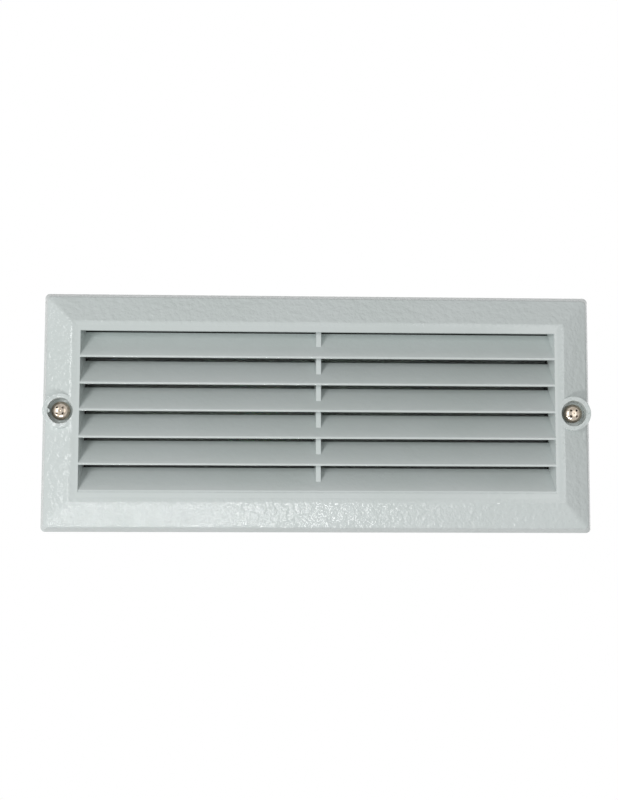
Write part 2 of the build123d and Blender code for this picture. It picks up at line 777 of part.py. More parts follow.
with BuildPart() as reflector:
    with BuildSketch(Plane.YZ.offset(reflector_start)):
        with BuildLine():
            bend = reflector_bend
            FilletPolyline(
                (reflector_front_depth, -inner_front_half),
                (reflector_back, -inner_back_half),
                (reflector_back, inner_back_half),
                (reflector_front_depth, inner_front_half),
                (reflector_front_depth, reflector_front_half),
                (reflector_back - reflector_sheet, reflector_back_half),
                (reflector_back - reflector_sheet, -reflector_back_half),
                (reflector_front_depth, -reflector_front_half),
                radius=[0, bend + reflector_sheet, bend + reflector_sheet, 0, 0, bend, bend, 0],
                close=True,
            )
        make_face()
    extrude(amount=reflector_length)
    with BuildSketch(facing_out(reflector_back)):
        with Locations(*reflector_places):
            Circle(m3_radius + cover_hole_clearance)
    extrude(amount=2 * reflector_sheet, mode=Mode.SUBTRACT)

reflector.part.label = "reflector"
export_step(reflector.part, "parts/reflector.step")

m3_screw = pan_screw(m3_radius, short_screw, m3_pitch, m3_head_radius, m3_head_height)
with BuildPart() as reflector_screws:
    with Locations(*[out_of_wall(x, reflector_back - reflector_sheet, z) for x, z in reflector_places]):
        add(m3_screw)

reflector_screws.part.label = "reflector_screws"
export_step(reflector_screws.part, "parts/reflector_screws.step")

# ---- lampholder bracket and its screws ---------------------------------------------------
bracket_front = lamp_depth - bracket_front_room

with BuildPart() as holder_bracket:
    with BuildSketch(Plane.XY.offset(-bracket_half_width)):
        with BuildLine():
            FilletPolyline(
                (bracket_x, bracket_front),
                (bracket_x, foot_back),
                (bracket_x + bracket_foot, foot_back),
                (bracket_x + bracket_foot, foot_back - bracket_sheet),
                (holder_back, foot_back - bracket_sheet),
                (holder_back, bracket_front),
                radius=[0, bracket_bend + bracket_sheet, 0, 0, bracket_bend, 0],
                close=True,
            )
        make_face()
    extrude(amount=2 * bracket_half_width)
    fillet(
        holder_bracket.edges().filter_by(Axis.X).group_by(Axis.Y)[0].sort_by(Axis.Z), 0.4 * bracket_half_width
    )
    with BuildSketch(facing_out(foot_back)):
        with Locations(*foot_places):
            Circle(m4_radius + cover_hole_clearance)
    extrude(amount=bracket_sheet, mode=Mode.SUBTRACT)
    with BuildSketch(facing_left(holder_back, lamp_depth, 0)):
        with GridLocations(1, holder_screw_spacing, 1, 2):
            Circle(m4_radius + cover_hole_clearance)
        Circle(contact_head_radius)
    extrude(amount=bracket_sheet, mode=Mode.SUBTRACT)

holder_bracket.part.label = "holder_bracket"
export_step(holder_bracket.part, "parts/holder_bracket.step")

foot_screw = pan_screw(m4_radius, short_screw, m4_pitch, m4_head_radius, m4_head_height)
with BuildPart() as bracket_screws:
    with Locations(*[out_of_wall(x, foot_back - bracket_sheet, z) for x, z in foot_places]):
        add(foot_screw)

bracket_screws.part.label = "bracket_screws"
export_step(bracket_screws.part, "parts/bracket_screws.step")

holder_screw = pan_screw(m4_radius, holder_screw_length, m4_pitch, m4_head_radius, bracket_end_gap / 2)
holder_screw_places = [
    facing_left(bracket_x, lamp_depth, side * holder_screw_spacing / 2) for side in (-1, 1)
]
with BuildPart() as holder_screws:
    with Locations(*holder_screw_places):
        add(holder_screw)

holder_screws.part.label = "holder_screws"
export_step(holder_screws.part, "parts/holder_screws.step")

# ---- lampholder --------------------------------------------------------------------------
lamp_axis = Axis((0, lamp_depth, 0), (1, 0, 0))
lamp_section = Plane(origin=(0, lamp_depth, 0), x_dir=(1, 0, 0), z_dir=(0, 0, 1))
cap_end = holder_mouth + lamp_seat_gap
tip_face = cap_end - cap_length - insulator_length - tip_height
contact_back = tip_face - contact_head_height - contact_travel - contact_side_gap
cavity_floor = tip_face - contact_proud
entry_x = holder_back + holder_base_length / 2
lead_hole_radius = lead_radius + lead_entry_clearance

with BuildPart() as lampholder_body:
    with BuildSketch(lamp_section):
        with BuildLine():
            FilletPolyline(
                (holder_back, 0),
                (holder_back, holder_base_radius),
                (holder_back + holder_base_length, holder_base_radius),
                (holder_back + holder_base_length + holder_step, holder_barrel_radius),
                (holder_mouth, holder_barrel_radius),
                (holder_mouth, shell_outer_radius),
                (cavity_floor, shell_outer_radius),
                (cavity_floor, contact_head_radius + contact_side_gap),
                (contact_back, contact_head_radius + contact_side_gap),
                (contact_back, 0),
                radius=[0, 1.5, 1.0, 1.0, 1.5, 0.6, 0, 0, 0, 0],
                close=True,
            )
        make_face()
    revolve(axis=lamp_axis)
    with BuildSketch(facing_left(contact_back, lamp_depth, 0)):
        Circle(contact_stem_radius + running_clearance)
    extrude(amount=contact_back - holder_back, mode=Mode.SUBTRACT)
    with BuildSketch(facing_left(holder_back, lamp_depth, 0)):
        with GridLocations(1, holder_screw_spacing, 1, 2):
            Circle(m4_hole)
    extrude(amount=-(holder_screw_length - bracket_sheet + boss_bore_extra), mode=Mode.SUBTRACT)
    with BuildSketch(Plane.XY.offset(holder_base_radius)):
        with Locations((entry_x, lamp_depth)):
            with GridLocations(1, holder_entry_spacing, 1, 2):
                Circle(lead_hole_radius)
    extrude(amount=-holder_entry_depth, mode=Mode.SUBTRACT)

lampholder_body.part.label = "lampholder_body"
export_step(lampholder_body.part, "parts/lampholder_body.step")

# The shell's inside has ring ridges that stand clear of the lamp cap's crests.
shell_bore = cap_radius + shell_clearance
shell_start = cavity_floor + shell_floor_gap
shell_end = holder_mouth - shell_mouth_gap
shell_turns = int((shell_end - shell_start) / cap_pitch)
shell_crests = [shell_start + (turn + 0.5) * cap_pitch for turn in range(shell_turns)]
with BuildPart() as lampholder_shell:
    with BuildSketch(lamp_section):
        with BuildLine():
            Polyline(
                (shell_end, shell_bore + shell_ridge),
                (shell_end, shell_outer_radius),
                (shell_start, shell_outer_radius),
                (shell_start, contact_head_radius + shell_hole_margin),
                (shell_start + shell_wall, contact_head_radius + shell_hole_margin),
                (shell_start + shell_wall, shell_bore + shell_ridge),
            )
            last = (shell_start + shell_wall, shell_bore + shell_ridge)
            for crest in shell_crests:
                Line(last, (crest - cap_pitch / 4, shell_bore + shell_ridge))
                ThreePointArc(
                    (crest - cap_pitch / 4, shell_bore + shell_ridge),
                    (crest, shell_bore),
                    (crest + cap_pitch / 4, shell_bore + shell_ridge),
                )
                last = (crest + cap_pitch / 4, shell_bore + shell_ridge)
            Line(last, (shell_end, shell_bore + shell_ridge))
        make_face()
    revolve(axis=lamp_axis)

lampholder_shell.part.label = "lampholder_shell"
export_step(lampholder_shell.part, "parts/lampholder_shell.step")

contact_seat = tip_face - contact_head_height
with BuildPart() as centre_contact:
    with BuildSketch(lamp_section):
        with BuildLine():
            FilletPolyline(
                (contact_seat - contact_stem_length, 0),
                (contact_seat - contact_stem_length, contact_stem_radius),
                (contact_seat, contact_stem_radius),
                (contact_seat, contact_head_radius),
                (tip_face, contact_head_radius),
                (tip_face, 0),
                radius=[0, 0.4, 0, 0.3, 0.5, 0],
                close=True,
            )
        make_face()
    revolve(axis=lamp_axis)

centre_contact.part.label = "centre_contact"
export_step(centre_contact.part, "parts/centre_contact.step")

# ---- lamp --------------------------------------------------------------------------------
tip_base = tip_face + tip_height
cap_start = tip_base + insulator_length
tip_sphere = (tip_radius**2 + tip_height**2) / (2 * tip_height)
tip_half_angle = asin(tip_radius / tip_sphere) / 2
tip_middle = (tip_face + tip_sphere * (1 - cos(tip_half_angle)), tip_sphere * sin(tip_half_angle))
collar_end = cap_end + collar_length
dome_centre = collar_end + dome_cut
dome_rim_radius = (lamp_radius**2 - dome_cut**2) ** 0.5
inner_radius = lamp_radius - dome_wall
inner_rim_radius = (inner_radius**2 - dome_cut**2) ** 0.5

with BuildPart() as lamp_tip:
    with BuildSketch(lamp_section):
        with BuildLine():
            Line((tip_face, 0), (tip_base, 0))
            Line((tip_base, 0), (tip_base, tip_radius))
            ThreePointArc((tip_base, tip_radius), tip_middle, (tip_face, 0))
        make_face()
    revolve(axis=lamp_axis)

lamp_tip.part.label = "lamp_tip"
export_step(lamp_tip.part, "parts/lamp_tip.step")

with BuildPart() as lamp_insulator:
    with BuildSketch(lamp_section):
        with BuildLine():
            Polyline(
                (tip_base, 0),
                (cap_start, 0),
                (cap_start, cap_root - insulator_inset),
                (cap_start - insulator_length / 4, cap_root - insulator_inset - insulator_taper),
                (tip_base, tip_radius + insulator_taper),
                close=True,
            )
        make_face()
    revolve(axis=lamp_axis)

lamp_insulator.part.label = "lamp_insulator"
export_step(lamp_insulator.part, "parts/lamp_insulator.step")

cap_crests = [cap_start + (turn + 0.5) * cap_pitch for turn in range(int(cap_length / cap_pitch))]
with BuildPart() as lamp_cap:
    with BuildSketch(lamp_section):
        with BuildLine():
            Polyline((cap_end, cap_root), (cap_end, cap_bore), (cap_start, cap_bore), (cap_start, cap_root))
            last = (cap_start, cap_root)
            for crest in cap_crests:
                rise = (crest - 0.3 * cap_pitch, cap_root)
                Line(last, rise)
                last = (crest + 0.3 * cap_pitch, cap_root)
                ThreePointArc(rise, (crest, cap_radius), last)
            Line(last, (cap_end, cap_root))
        make_face()
    revolve(axis=lamp_axis)

lamp_cap.part.label = "lamp_cap"
export_step(lamp_cap.part, "parts/lamp_cap.step")

with BuildPart() as lamp_collar:
    with BuildSketch(lamp_section):
        with BuildLine():
            Line((cap_end, 0), (cap_end, collar_neck_radius))
            Spline(
                (cap_end, collar_neck_radius),
                (cap_end + 0.45 * collar_length, 0.5 * (collar_neck_radius + dome_rim_radius)),
                (collar_end, dome_rim_radius),
                tangents=[(1, 0.15), (1, 0.4)],
            )
            Polyline(
                (collar_end, dome_rim_radius),
                (collar_end, collar_cup_radius + collar_rim),
                (collar_end - board_thickness, collar_cup_radius + collar_rim),
                (collar_end - board_thickness, collar_cup_radius),
                (collar_end - collar_cup_depth, collar_neck_radius - collar_rim),
                (collar_end - collar_cup_depth, 0),
                (cap_end, 0),
            )
        make_face()
    revolve(axis=lamp_axis)

lamp_collar.part.label = "lamp_collar"
export_step(lamp_collar.part, "parts/lamp_collar.step")

with BuildPart() as lamp_dome:
    with BuildSketch(lamp_section):
        with BuildLine():
            ThreePointArc(
                (collar_end, dome_rim_radius), (dome_centre, lamp_radius), (dome_centre + lamp_radius, 0)
            )
            Line((dome_centre + lamp_radius, 0), (dome_centre + inner_radius, 0))
            ThreePointArc(
                (dome_centre + inner_radius, 0), (dome_centre, inner_radius), (collar_end, inner_rim_radius)
            )
            Line((collar_end, inner_rim_radius), (collar_end, dome_rim_radius))
        make_face()
    revolve(axis=lamp_axis)

lamp_dome.part.label = "lamp_dome"
export_step(lamp_dome.part, "parts/lamp_dome.step")

# The board sits in the collar's step, with its chips towards the dome.
board_plane = Plane(origin=(collar_end - board_thickness, lamp_depth, 0), x_dir=(0, 1, 0), z_dir=(1, 0, 0))
with BuildPart() as lamp_board:
    with BuildSketch(board_plane):
        Circle(board_radius)
    extrude(amount=board_thickness)
    with BuildSketch(board_plane.offset(board_thickness)):
        with PolarLocations(chip_circle, chip_count):
            Rectangle(chip_size, chip_size)
    extrude(amount=chip_height)

lamp_board.part.label = "lamp_board"
export_step(lamp_board.part, "parts/lamp_board.step")

# ---- terminal block ----------------------------------------------------------------------
wire_depth = block_back - wire_height
block_front = block_back - block_height
pole_heights = [block_rise + pole * block_pole_pitch for pole in (-1, 0, 1)]
grub_places = [(block_x + side * grub_spacing / 2, z) for side in (-1, 1) for z in pole_heights]
pole_section = Plane.YZ.offset(block_x)

with BuildPart() as terminal_block:
    with BuildSketch(facing_out(block_back)):
        with Locations((block_x, block_rise)):
            Rectangle(block_length, 2 * block_pole_pitch + block_pole_width)
    extrude(amount=block_base)
    for z in pole_heights:
        with BuildSketch(facing_out(block_back)):
            with Locations((block_x, z)):
                RectangleRounded(block_length, block_pole_width, block_edge)
        extrude(amount=block_height)
    with BuildSketch(pole_section):
        with Locations(*[(wire_depth, z) for z in pole_heights]):
            Circle(barrel_radius)
    extrude(amount=block_length, both=True, mode=Mode.SUBTRACT)
    with BuildSketch(facing_out(block_front)):
        with Locations(*grub_places):
            Circle(grub_well_radius)
    extrude(amount=-(wire_depth - block_front), mode=Mode.SUBTRACT)
    with BuildSketch(facing_out(block_front)):
        with Locations(*block_screw_places):
            Circle(block_screw_head + running_clearance)
    extrude(amount=block_base - block_height, mode=Mode.SUBTRACT)
    with BuildSketch(facing_out(block_back)):
        with Locations(*block_screw_places):
            Circle(block_screw_radius + running_clearance)
    extrude(amount=block_base, mode=Mode.SUBTRACT)

terminal_block.part.label = "terminal_block"
export_step(terminal_block.part, "parts/terminal_block.step")

with BuildPart() as terminal_barrels:
    with BuildSketch(pole_section):
        with Locations(*[(wire_depth, z) for z in pole_heights]):
            Circle(barrel_radius)
            Circle(wire_hole_radius, mode=Mode.SUBTRACT)
    extrude(amount=barrel_length / 2, both=True)
    with BuildSketch(facing_out(wire_depth)):
        with Locations(*grub_places):
            Circle(grub_radius + running_clearance)
    extrude(amount=2 * barrel_radius, mode=Mode.SUBTRACT)

terminal_barrels.part.label = "terminal_barrels"
export_step(terminal_barrels.part, "parts/terminal_barrels.step")

with BuildPart() as terminal_screws:
    with BuildSketch(facing_out(wire_depth - lead_radius)):
        with Locations(*grub_places):
            Circle(grub_radius)
    extrude(amount=grub_length)
    with BuildSketch(facing_out(wire_depth - lead_radius - grub_length)):
        with Locations(*grub_places):
            Rectangle(2 * grub_radius, grub_slot)
    extrude(amount=-2 * grub_slot, mode=Mode.SUBTRACT)

terminal_screws.part.label = "terminal_screws"
export_step(terminal_screws.part, "parts/terminal_screws.step")

block_screw = pan_screw(
    block_screw_radius,
    block_base + block_screw_bite,
    block_screw_pitch,
    block_screw_head,
    block_screw_head_height,
)
with BuildPart() as block_screws:
    with Locations(*[out_of_wall(x, block_back - block_base, z) for x, z in block_screw_places]):
        add(block_screw)

block_screws.part.label = "block_screws"
export_step(block_screws.part, "parts/block_screws.step")

# ---- earth tag and screw -----------------------------------------------------------------
tag_back = box_depth - earth_boss_height
tag_axis_depth = tag_back - tag_barrel_radius

with BuildPart() as earth_tag:
    with BuildSketch(facing_out(tag_back)):
        with Locations((block_x, earth_z)):
            Circle(tag_radius)
        with Locations((block_x - tag_reach / 2, earth_z)):
            Rectangle(tag_reach, 2 * tag_thickness)
        with Locations((block_x, earth_z)):
            Circle(m4_radius + cover_hole_clearance, mode=Mode.SUBTRACT)
    extrude(amount=tag_thickness)
    with BuildSketch(facing_left(block_x - tag_reach + lead_insert, tag_axis_depth, earth_z)):
        Circle(tag_barrel_radius)
    extrude(amount=lead_insert)
    with BuildSketch(facing_left(block_x - tag_reach + lead_insert, tag_axis_depth, earth_z)):
        Circle(lead_radius)
    extrude(amount=lead_insert, mode=Mode.SUBTRACT)

earth_tag.part.label = "earth_tag"
export_step(earth_tag.part, "parts/earth_tag.step")

with BuildPart() as earth_screw:
    with Locations(out_of_wall(block_x, tag_back - tag_thickness, earth_z)):
        add(foot_screw)

earth_screw.part.label = "earth_screw"
export_step(earth_screw.part, "parts/earth_screw.step")

# ---- leads -------------------------------------------------------------------------------
lead_start = block_left + lead_insert
holder_entry_end = holder_base_radius - holder_entry_depth + lead_end_gap


def bend_radii(points):
    """Each corner's largest arc: 0.45 of its shorter run over the tangent of half its turn."""
    radii = []
    for before, corner, after in zip(points, points[1:], points[2:]):
        arriving = Vector(corner) - Vector(before)
        leaving = Vector(after) - Vector(corner)
        half_turn = radians(arriving.get_angle(leaving)) / 2
        radii.append(0.45 * min(arriving.length, leaving.length) / tan(half_turn))
    return radii


# Live and neutral run along the channel above the reflector, with a slight wave, then turn down into the
# lampholder; earth turns back to its tag.
live_z = floor_height / 2 - lead_wall_gap
neutral_z = live_z - lead_spacing
channel_start = reflector_end + channel_start_gap
channel_end = holder_mouth - channel_end_gap
channel_step = (channel_end - channel_start) / channel_spans
live_route = [
    (lead_start, wire_depth, pole_heights[2]),
    (block_left - lead_run, wire_depth, pole_heights[2]),
    (channel_start, wire_depth - lead_wave, live_z),
    (channel_start + channel_step, wire_depth, live_z + lead_wave),
    (channel_end - channel_step, wire_depth - lead_wave, live_z),
    (channel_end, wire_depth - lead_wave - lead_turn_depth, live_z + lead_wave),
    (entry_x, lamp_depth + holder_entry_spacing / 2, holder_base_radius + lead_rise),
    (entry_x, lamp_depth + holder_entry_spacing / 2, holder_entry_end),
]
neutral_route = [
    (lead_start, wire_depth, pole_heights[1]),
    (block_left - lead_run, wire_depth, pole_heights[1]),
    (channel_start, wire_depth - lead_wave, neutral_z),
    (channel_start + channel_step, wire_depth, neutral_z + lead_wave),
    (channel_end - channel_step, wire_depth - lead_wave, neutral_z),
    (channel_end, wire_depth - lead_wave - 2 * lead_turn_depth, neutral_z + neutral_lift),
    (entry_x, lamp_depth - holder_entry_spacing / 2, holder_base_radius + lead_rise - lead_wave),
    (entry_x, lamp_depth - holder_entry_spacing / 2, holder_entry_end),
]
earth_route = [
    (lead_start, wire_depth, pole_heights[0]),
    (block_left - earth_run, wire_depth, pole_heights[0]),
    (block_left - earth_run - lead_wave / 2, tag_axis_depth, earth_z),
    (block_x - tag_reach + lead_insert, tag_axis_depth, earth_z),
]

with BuildPart() as live_lead:
    with BuildLine():
        live_path = FilletPolyline(*live_route, radius=bend_radii(live_route))
    with BuildSketch(Plane(origin=live_path @ 0, z_dir=live_path % 0)):
        Circle(lead_radius)
    sweep()

live_lead.part.label = "live_lead"
export_step(live_lead.part, "parts/live_lead.step")

with BuildPart() as neutral_lead:
    with BuildLine():
        neutral_path = FilletPolyline(*neutral_route, radius=bend_radii(neutral_route))
    with BuildSketch(Plane(origin=neutral_path @ 0, z_dir=neutral_path % 0)):
        Circle(lead_radius)
    sweep()

neutral_lead.part.label = "neutral_lead"
export_step(neutral_lead.part, "parts/neutral_lead.step")

with BuildPart() as earth_lead:
    with BuildLine():
        earth_path = FilletPolyline(*earth_route, radius=bend_radii(earth_route))
    with BuildSketch(Plane(origin=earth_path @ 0, z_dir=earth_path % 0)):
        Circle(lead_radius)
    sweep()

earth_lead.part.label = "earth_lead"
export_step(earth_lead.part, "parts/earth_lead.step")

for name, route, lead in (
    ("live", live_route, live_lead),
    ("neutral", neutral_route, neutral_lead),
    ("earth", earth_route, earth_lead),
):
    print(name, "lead bend radii", [round(radius, 1) for radius in bend_radii(route)])
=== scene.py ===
import json
import math

import bmesh
import bpy
import numpy as np
from mathutils import Matrix, Vector


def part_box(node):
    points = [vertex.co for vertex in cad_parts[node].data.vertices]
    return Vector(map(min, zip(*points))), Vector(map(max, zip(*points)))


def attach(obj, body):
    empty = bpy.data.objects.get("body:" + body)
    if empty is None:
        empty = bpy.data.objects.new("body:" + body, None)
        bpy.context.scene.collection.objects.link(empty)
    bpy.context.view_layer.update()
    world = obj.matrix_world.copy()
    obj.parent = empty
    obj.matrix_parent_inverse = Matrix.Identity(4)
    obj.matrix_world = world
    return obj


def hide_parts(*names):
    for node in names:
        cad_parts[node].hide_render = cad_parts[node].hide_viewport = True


# Recessed step light: looks, lights and camera round the CAD frame. Metres; X along the light, +Y into the
# wall, +Z up.

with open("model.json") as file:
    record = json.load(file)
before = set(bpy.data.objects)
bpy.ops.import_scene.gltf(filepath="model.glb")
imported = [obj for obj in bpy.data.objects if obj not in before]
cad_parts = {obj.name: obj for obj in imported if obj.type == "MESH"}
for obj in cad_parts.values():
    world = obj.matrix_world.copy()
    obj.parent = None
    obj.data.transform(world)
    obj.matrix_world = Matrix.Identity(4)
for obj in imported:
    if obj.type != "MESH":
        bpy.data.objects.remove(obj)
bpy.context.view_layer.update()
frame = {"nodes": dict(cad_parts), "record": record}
nodes = frame["nodes"]
MM = 0.001


# ---- small helpers -----------------------------------------------------------------------
def linear(hex_colour):
    """An sRGB hex colour as linear red, green, blue and alpha."""
    channels = [int(hex_colour[i : i + 2], 16) / 255 for i in (1, 3, 5)]
    return [c / 12.92 if c <= 0.04045 else ((c + 0.055) / 1.055) ** 2.4 for c in channels] + [1.0]


def add(tree, kind, inputs=None, **settings):
    """Adds a shader node. settings are its properties; inputs maps sockets to values or to outputs."""
    node = tree.nodes.new(kind)
    for name, value in settings.items():
        setattr(node, name, value)
    for key, value in (inputs or {}).items():
        if isinstance(value, bpy.types.NodeSocket):
            tree.links.new(value, node.inputs[key])
        else:
            node.inputs[key].default_value = value
    return node


def per_metre(size_mm):
    """Pattern scale whose features are this many millimetres across."""
    return 1 / (size_mm * MM)


MIX_FACTOR, MIX_A, MIX_B, MIX_RESULT = 0, 6, 7, 2  # the Mix node's sockets for colours


class Finish:
    """A material whose colour, roughness and relief come from noise of real sizes on Object coordinates."""

    def __init__(self, name, colour, stain, stain_mm, rough, metallic=0.0, stretch=(1, 1, 1), **shader):
        """colour drifts to stain over stain_mm, and roughness between the two values of rough."""
        self.material = bpy.data.materials.new(name)
        self.material.use_nodes = True
        self.tree = self.material.node_tree
        self.shader = self.tree.nodes["Principled BSDF"]
        coordinate = add(self.tree, "ShaderNodeTexCoord")
        self.raw_place = coordinate.outputs["Object"]
        mapping = add(self.tree, "ShaderNodeMapping", {"Vector": self.raw_place, "Scale": stretch})
        self.place = mapping.outputs["Vector"]
        drift = self.noise(stain_mm, detail=4)
        spread = add(
            self.tree,
            "ShaderNodeMapRange",
            {"Value": drift, "From Min": 0.35, "From Max": 0.65},
        ).outputs[0]
        self.colour = self.blend(spread, linear(colour), linear(stain))
        smear = self.noise(stain_mm / 3, detail=3)
        roughness = add(
            self.tree,
            "ShaderNodeMapRange",
            {"Value": smear, "From Min": 0.3, "From Max": 0.7, "To Min": rough[0], "To Max": rough[1]},
        )
        self.tree.links.new(roughness.outputs[0], self.shader.inputs["Roughness"])
        self.shader.inputs["Metallic"].default_value = metallic
        for socket, value in shader.items():
            self.shader.inputs[socket.replace("_", " ")].default_value = value
        self.tree.links.new(self.colour, self.shader.inputs["Base Color"])
        self.normal = None

    def noise(self, size_mm, detail=2.0, roughness=0.5, place=None):
        """Noise between 0 and 1, with features of this size."""
        inputs = {
            "Vector": place or self.place,
            "Scale": per_metre(size_mm),
            "Detail": detail,
            "Roughness": roughness,
        }
        return add(self.tree, "ShaderNodeTexNoise", inputs).outputs["Fac"]

    def blend(self, factor, first, second):
        """first where factor is 0, second where it is 1."""
        mix = add(
            self.tree,
            "ShaderNodeMix",
            {MIX_FACTOR: factor, MIX_A: first, MIX_B: second},
            data_type="RGBA",
        )
        return mix.outputs[MIX_RESULT]

    def recolour(self, factor, hex_colour):
        """Turns the colour to this one where factor is 1."""
        self.colour = self.blend(factor, self.colour, linear(hex_colour))
        self.tree.links.new(self.colour, self.shader.inputs["Base Color"])

    def specks(self, spacing_mm, radius_mm, share):
        """1 inside round specks of about this radius, in this share of cells one spacing wide, else 0."""
        cells = add(
            self.tree, "ShaderNodeTexVoronoi", {"Vector": self.raw_place, "Scale": per_metre(spacing_mm)}
        )
        reach = radius_mm / spacing_mm
        near = add(
            self.tree,
            "ShaderNodeMapRange",
            {"Value": cells.outputs["Distance"], "From Min": reach, "From Max": 0.7 * reach},
        )
        chosen = add(
            self.tree, "ShaderNodeMath", {0: cells.outputs["Color"], 1: share}, operation="LESS_THAN"
        )
        both = add(
            self.tree, "ShaderNodeMath", {0: near.outputs[0], 1: chosen.outputs[0]}, operation="MULTIPLY"
        )
        return both.outputs[0]

    def relief(self, height, rise_mm):
        """Raises the surface by rise_mm where height is 1, on top of any relief it has."""
        inputs = {"Height": height, "Distance": rise_mm * MM}
        if self.normal:
            inputs["Normal"] = self.normal
        self.normal = add(self.tree, "ShaderNodeBump", inputs).outputs["Normal"]
        self.tree.links.new(self.normal, self.shader.inputs["Normal"])

    def beyond(self, axis, start):
        """1 where the place along an axis is past start, else 0."""
        split = add(self.tree, "ShaderNodeSeparateXYZ", {"Vector": self.raw_place})
        past = add(
            self.tree, "ShaderNodeMath", {0: split.outputs[axis], 1: start}, operation="GREATER_THAN"
        )
        return past.outputs[0]

    def outside(self, half_x, half_z, fade):
        """1 outside a rectangle about the light's middle and 0 inside it, with an edge this wide."""
        split = add(self.tree, "ShaderNodeSeparateXYZ", {"Vector": self.raw_place})
        past = []
        for axis, half in (("X", half_x), ("Z", half_z)):
            away = add(self.tree, "ShaderNodeMath", {0: split.outputs[axis]}, operation="ABSOLUTE")
            step = {"Value": away.outputs[0], "From Min": half, "From Max": half + fade}
            past.append(add(self.tree, "ShaderNodeMapRange", step).outputs[0])
        return add(self.tree, "ShaderNodeMath", {0: past[0], 1: past[1]}, operation="MAXIMUM").outputs[0]


finishes = {}  # material by the record's slot name
# Grain that is really finer than about 0.3 mm would not show, so it is drawn as coarse as it needs to be.

# ---- paint, glass and rubber -------------------------------------------------------------
# White polyester powder coat, sprayed and baked: orange peel breaks up each reflection, most of all where the
# powder builds up round the outside, and dust shows as specks. The peel is drawn a little coarser than real.
THIN_COAT = (104 * MM, 37 * MM)  # half the length and height of the middle, where the coat is thin and even
PEEL = 2.4  # mm from one swelling of the peel to the next
SPECK_SPACING = 16  # mm
coat = Finish("white_powder_coat", "#CED5D4", "#CAD2D0", 40, (0.09, 0.14), IOR=1.5)
coat.recolour(coat.specks(SPECK_SPACING, 0.32, 0.12), "#9B9486")
thick = coat.outside(*THIN_COAT, fade=2 * MM)
swelling = coat.noise(PEEL, detail=3, roughness=0.6)
peel = add(coat.tree, "ShaderNodeMath", {0: swelling, 1: thick}, operation="MULTIPLY")
coat.relief(peel.outputs[0], 0.42)
coat.relief(coat.noise(PEEL, detail=1.5), 0.08)
coat.relief(coat.noise(0.8, detail=2), 0.02)
coat.relief(coat.specks(SPECK_SPACING, 0.5, 0.2), 0.05)
finishes["cover_paint"] = coat.material

# Tempered glass with one face etched in acid: light comes through it blurred, and its body is faintly green.
etched = Finish("acid_etched_glass", "#A9B6AF", "#A2B0A8", 30, (0.42, 0.5), IOR=1.52, Transmission_Weight=1.0)
etched.relief(etched.noise(0.5, detail=3), 0.02)
finishes["frosted_glass"] = etched.material

# Moulded rubber: matt and nearly black, with a fine grain and a greyish bloom.
seal = Finish("moulded_rubber", "#262625", "#343431", 9, (0.62, 0.8), Specular_IOR_Level=0.35)
seal.relief(seal.noise(0.5, detail=3), 0.03)
finishes["seal_rubber"] = seal.material
finishes["grommet_rubber"] = seal.material

# ---- metals ------------------------------------------------------------------------------
# Bare die-cast aluminium: grey skin with cloudy flow marks and a fine sandy grain.
casting = Finish("die_cast_aluminium", "#A8AAAB", "#8F9294", 14, (0.38, 0.6), metallic=1.0)
casting.relief(casting.noise(5, detail=4), 0.10)
casting.relief(casting.noise(0.45, detail=2), 0.03)
finishes["cast_housing"] = casting.material

# Rolled stainless sheet: fine lines along the rolling direction draw reflections out sideways.
rolled = Finish(
    "rolled_stainless_sheet", "#B4B4B1", "#A3A3A0", 4, (0.24, 0.36), metallic=1.0, stretch=(0.08, 1, 1)
)
rolled.relief(rolled.noise(0.25, detail=2), 0.006)
finishes["stainless_sheet"] = rolled.material

# Bright zinc plate: bluish silver, slightly cloudy where the bath left its film.
zinc = Finish("bright_zinc_plate", "#C3C6CA", "#AEB1B3", 2.5, (0.2, 0.38), metallic=1.0)
zinc.relief(zinc.noise(0.3, detail=2), 0.006)
finishes["zinc_screws"] = zinc.material

# The same plate on folded sheet, whose skin is coarser.
zinc_sheet = Finish("zinc_plated_sheet", "#B9BCBD", "#A0A3A3", 7, (0.26, 0.44), metallic=1.0)
zinc_sheet.relief(zinc_sheet.noise(1.2, detail=3), 0.015)
finishes["zinc_sheet"] = zinc_sheet.material

# Nickel plate on the cover screws: warm silver with sharp reflections and a few scuffs.
nickel = Finish("nickel_plated_steel", "#C2B8AB", "#A99D8E", 1.6, (0.12, 0.26), metallic=1.0)
nickel.relief(nickel.noise(0.35, detail=2), 0.008)
finishes["nickel_screws"] = nickel.material

# Rolled brass under nickel, as in the holder's shell and the lamp's cap: slight waves from the rolling.
shell_plate = Finish("nickel_plated_rolled_shell", "#BDB4A6", "#A1988A", 5, (0.2, 0.34), metallic=1.0)
shell_plate.relief(shell_plate.noise(1.5, detail=2), 0.015)
finishes["nickel_shell"] = shell_plate.material
finishes["lamp_cap_nickel"] = shell_plate.material

# Turned brass: yellow, with fine rings from the tool.
turned = Finish("turned_brass", "#C6A25E", "#AD8746", 3, (0.2, 0.32), metallic=1.0, stretch=(1, 0.1, 0.1))
turned.relief(turned.noise(0.15, detail=1), 0.006)
finishes["contact_brass"] = turned.material
finishes["terminal_brass"] = turned.material

# Tinned copper and the soldered tip: soft grey metal with a lumpy skin.
tinned = Finish("tinned_copper", "#B3B4B6", "#97999C", 2, (0.25, 0.45), metallic=1.0)
tinned.relief(tinned.noise(0.9, detail=2), 0.04)
finishes["tinned_tag"] = tinned.material
finishes["lamp_solder"] = tinned.material

# ---- enamel, porcelain and plastics ------------------------------------------------------
# White gloss enamel, stoved on the folded sheet: smooth, with a long soft wave.
enamel = Finish("white_stoved_enamel", "#E2E2DD", "#DAD9D2", 30, (0.16, 0.26), IOR=1.5)
enamel.relief(enamel.noise(3, detail=1), 0.03)
finishes["reflector_sheet"] = enamel.material

